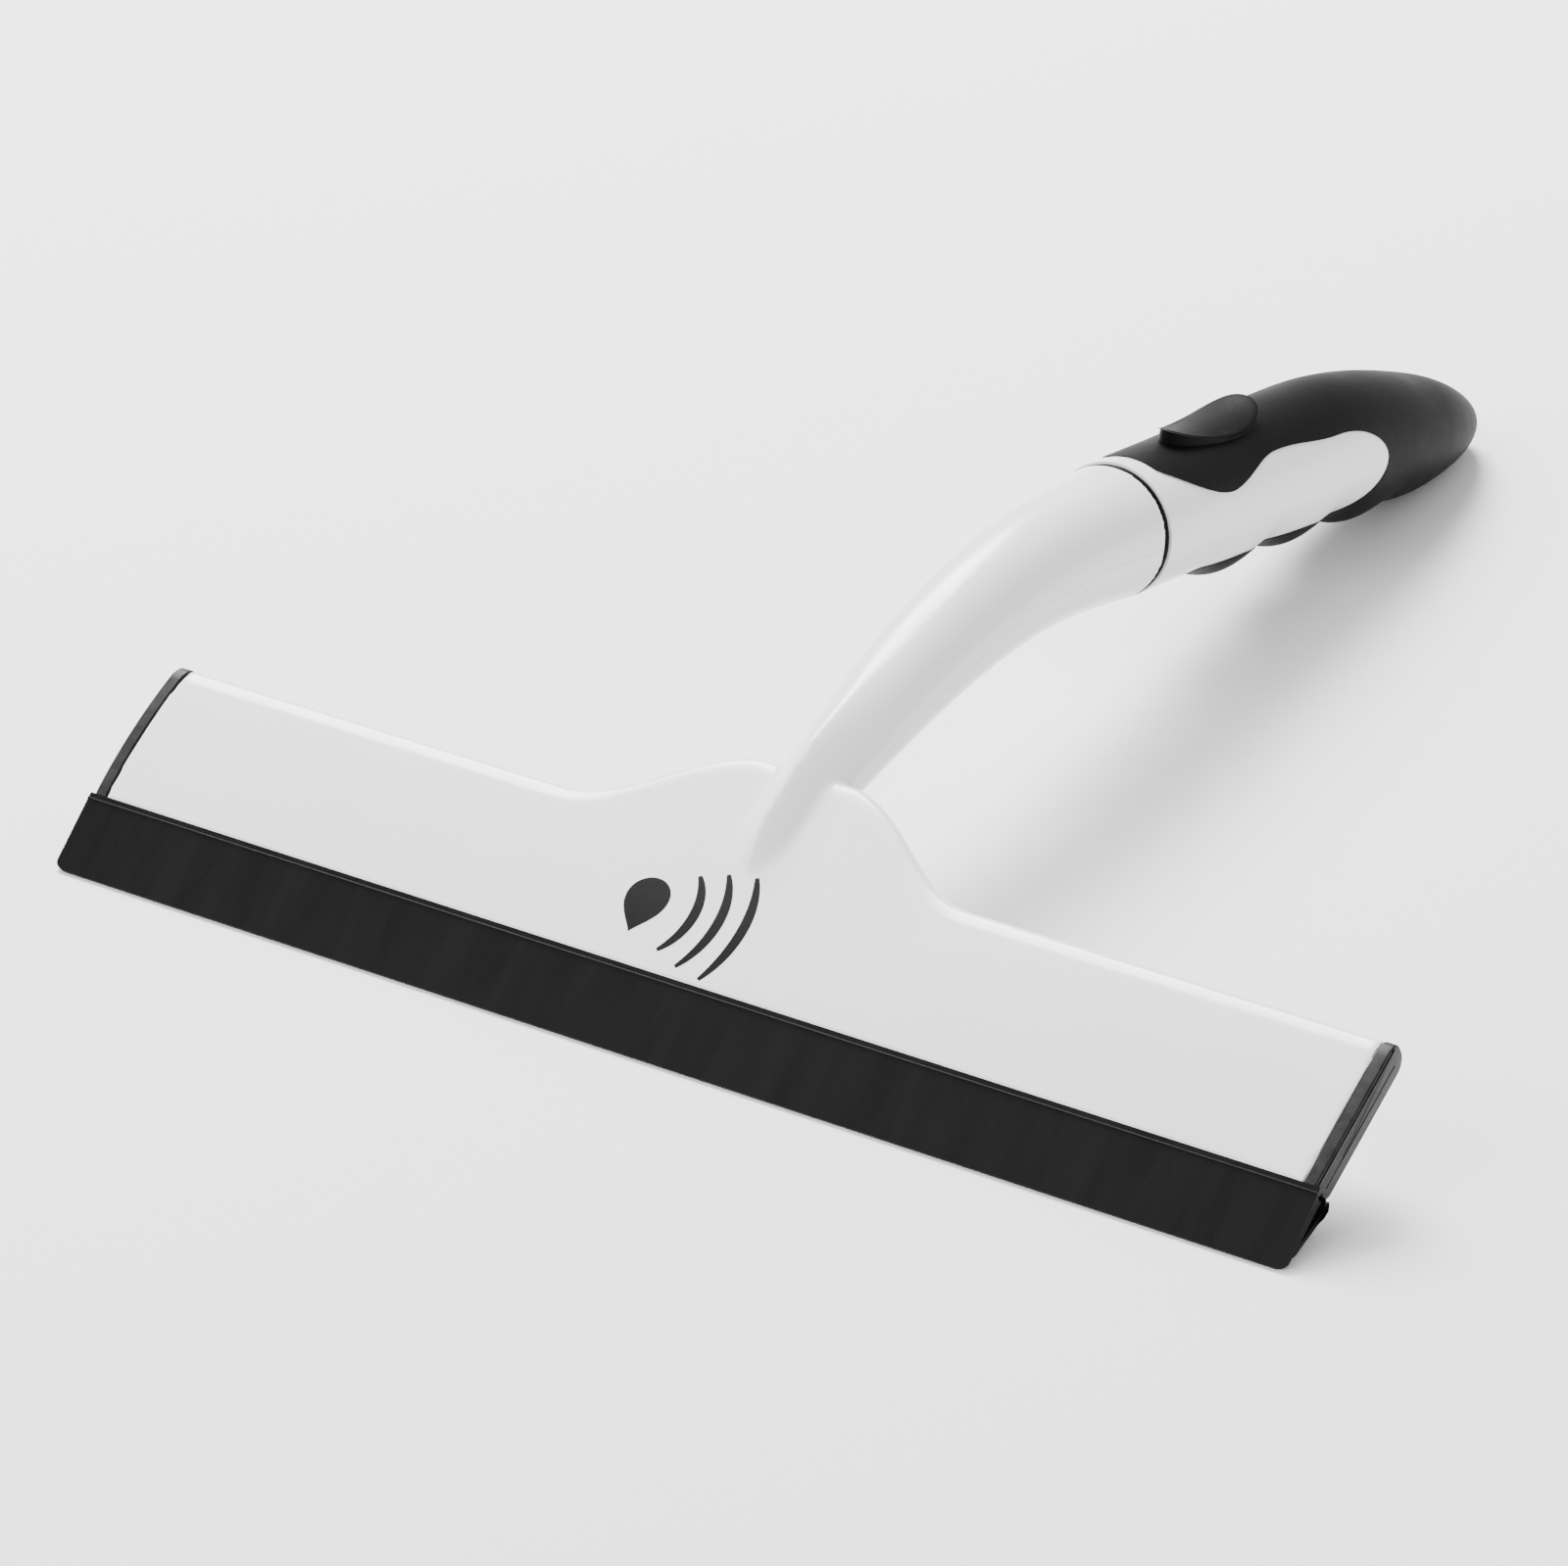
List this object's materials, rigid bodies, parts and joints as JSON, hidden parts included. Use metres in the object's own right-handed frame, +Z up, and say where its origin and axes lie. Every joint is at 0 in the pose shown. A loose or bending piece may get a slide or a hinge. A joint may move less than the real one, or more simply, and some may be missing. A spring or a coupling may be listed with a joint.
{
  "type": "window cleaning squeegee",
  "caption": "Hand squeegee: sloping white two-shell head with twin black rubber blades, arched hollow neck and a soft black grip with thumb rest and finger swells.",
  "frame": {"origin": "middle of the part's footprint on the table, under the neck, when it stands on the edge of its upper blade and on the butt of its grip", "axes": "+X along the head, towards the right end seen from the grip; -Y the blade side, +Y the grip side; +Z up from the table"},
  "size_m": [0.2552, 0.293, 0.0524],
  "materials": {
    "white_plastic": "gloss",
    "black_plastic": "satin",
    "blade_rubber": "satin",
    "grip_rubber": "satin",
    "zinc_steel": "satin"
  },
  "bodies": {
    "squeegee": {"upper_shell": "white_plastic", "lower_shell": "white_plastic", "blade_rail": "black_plastic", "left_end_cap": "black_plastic", "right_end_cap": "black_plastic", "joint_ring": "grip_rubber", "grip_core": "white_plastic", "grip_cover": "grip_rubber", "head_screw_1": "zinc_steel", "head_screw_2": "zinc_steel", "head_screw_3": "zinc_steel", "head_screw_4": "zinc_steel", "head_screw_5": "zinc_steel", "head_screw_6": "zinc_steel", "wing_screw_1": "zinc_steel", "wing_screw_2": "zinc_steel", "neck_screw": "zinc_steel", "joint_screw": "zinc_steel"},
    "upper_blade": {"upper_blade": "blade_rubber"},
    "lower_blade": {"lower_blade": "blade_rubber"}
  },
  "joints": [
    {"name": "upper_blade_flex", "type": "hinge", "parent": "squeegee", "child": "upper_blade", "pos_m": [0, -0.13331, 0.00925], "axis": [1, 0, 0], "range_deg": [-10, 10], "stiffness_Nm_per_rad": 0.5},
    {"name": "lower_blade_flex", "type": "hinge", "parent": "squeegee", "child": "lower_blade", "pos_m": [0, -0.13065, 0.00776], "axis": [1, 0, 0], "range_deg": [-10, 10], "stiffness_Nm_per_rad": 0.5}
  ],
  "couplings": [
    {"joint": "lower_blade_flex", "follows": "upper_blade_flex", "ratio": 1}
  ]
}
